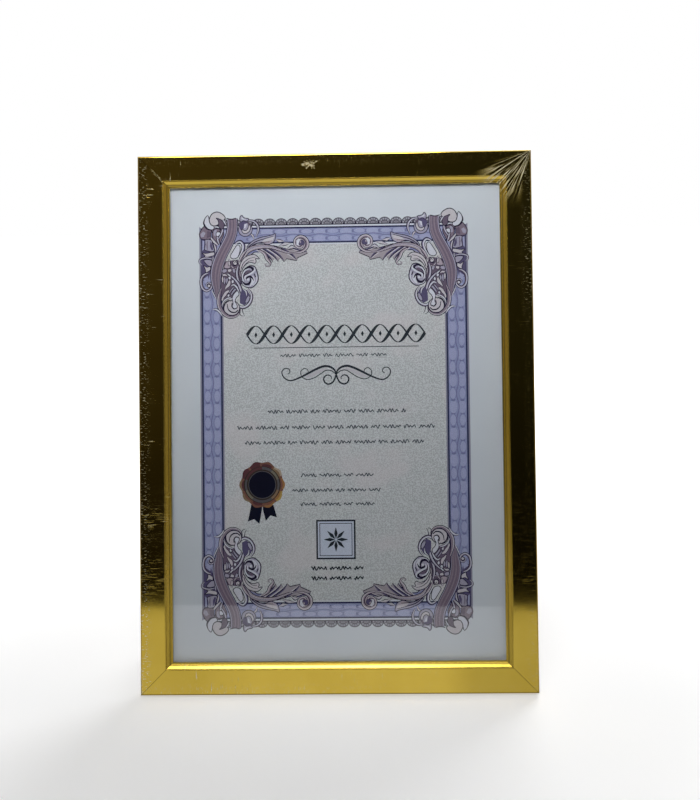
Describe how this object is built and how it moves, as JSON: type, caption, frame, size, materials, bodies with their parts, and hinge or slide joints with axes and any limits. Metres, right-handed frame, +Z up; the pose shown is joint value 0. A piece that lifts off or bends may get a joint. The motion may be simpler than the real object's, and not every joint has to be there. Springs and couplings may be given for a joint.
{
  "type": "certificate frame",
  "caption": "Upright document frame with mitred gold moulding and clear pane, standing on a folding slanted strut, with rings for a wall nail.",
  "frame": {"origin": "middle of the underside of the standing frame's box, on the table", "axes": "+X to the right seen from the front, +Y to the back, +Z up; the front faces -Y and leans back towards +Y"},
  "size_m": [0.238, 0.0964, 0.3203],
  "materials": {
    "gold_moulding": "mirror gold foil over a moulded plastic core",
    "clear_glass": "clear polished float glass",
    "printed_paper": "matt printed certificate paper",
    "grey_card": "raw grey board",
    "hardboard": "smooth brown hardboard",
    "zinc_plate": "zinc-plated sheet steel",
    "bright_steel": "nickel-plated steel"
  },
  "bodies": {
    "frame": {"top_rail": "gold_moulding", "bottom_rail": "gold_moulding", "left_rail": "gold_moulding", "right_rail": "gold_moulding", "corner_v_nails": "bright_steel", "glass_pane": "clear_glass", "certificate_sheet": "printed_paper", "filler_card": "grey_card", "backing_board": "hardboard", "hinge_base": "zinc_plate", "hinge_pin": "bright_steel", "hinge_base_rivets": "bright_steel", "hanger_strap_top": "zinc_plate", "hanger_strap_side": "zinc_plate", "hanger_rivets": "bright_steel", "button_screws": "bright_steel"},
    "strut": {"strut_board": "hardboard", "strut_clip": "zinc_plate", "strut_clip_rivets": "bright_steel"},
    "ring_top": {"hanger_ring_top": "bright_steel"},
    "ring_side": {"hanger_ring_side": "bright_steel"},
    "button_bottom": {"turn_button_bottom": "zinc_plate"},
    "button_top": {"turn_button_top": "zinc_plate"},
    "button_left_low": {"turn_button_left_low": "zinc_plate"},
    "button_left_high": {"turn_button_left_high": "zinc_plate"},
    "button_right_low": {"turn_button_right_low": "zinc_plate"},
    "button_right_high": {"turn_button_right_high": "zinc_plate"}
  },
  "joints": [
    {"name": "strut_fold", "type": "hinge", "parent": "frame", "child": "strut", "pos_m": [0.023, -0.00382, 0.13827], "axis": [-0.7071, 0.147, 0.6917], "range_deg": [0, 24]},
    {"name": "ring_top_swing", "type": "hinge", "parent": "frame", "child": "ring_top", "pos_m": [0, 0.02234, 0.26664], "axis": [1, 0, 0], "range_deg": [-12, 168]},
    {"name": "ring_side_swing", "type": "hinge", "parent": "frame", "child": "ring_side", "pos_m": [0.077, -0.00064, 0.15855], "axis": [0, -0.2079, -0.9781], "range_deg": [0, 180]},
    {"name": "button_bottom_turn", "type": "hinge", "parent": "frame", "child": "button_bottom", "pos_m": [0, -0.03482, 0.00639], "axis": [0, 0.9781, -0.2079], "continuous": true},
    {"name": "button_top_turn", "type": "hinge", "parent": "frame", "child": "button_top", "pos_m": [0, 0.03003, 0.31147], "axis": [0, 0.9781, -0.2079], "continuous": true},
    {"name": "button_left_low_turn", "type": "hinge", "parent": "frame", "child": "button_left_low", "pos_m": [-0.11245, -0.01591, 0.09535], "axis": [0, 0.9781, -0.2079], "continuous": true},
    {"name": "button_left_high_turn", "type": "hinge", "parent": "frame", "child": "button_left_high", "pos_m": [-0.11245, 0.01247, 0.22887], "axis": [0, 0.9781, -0.2079], "continuous": true},
    {"name": "button_right_low_turn", "type": "hinge", "parent": "frame", "child": "button_right_low", "pos_m": [0.11245, -0.01591, 0.09535], "axis": [0, 0.9781, -0.2079], "continuous": true},
    {"name": "button_right_high_turn", "type": "hinge", "parent": "frame", "child": "button_right_high", "pos_m": [0.11245, 0.01247, 0.22887], "axis": [0, 0.9781, -0.2079], "continuous": true}
  ]
}
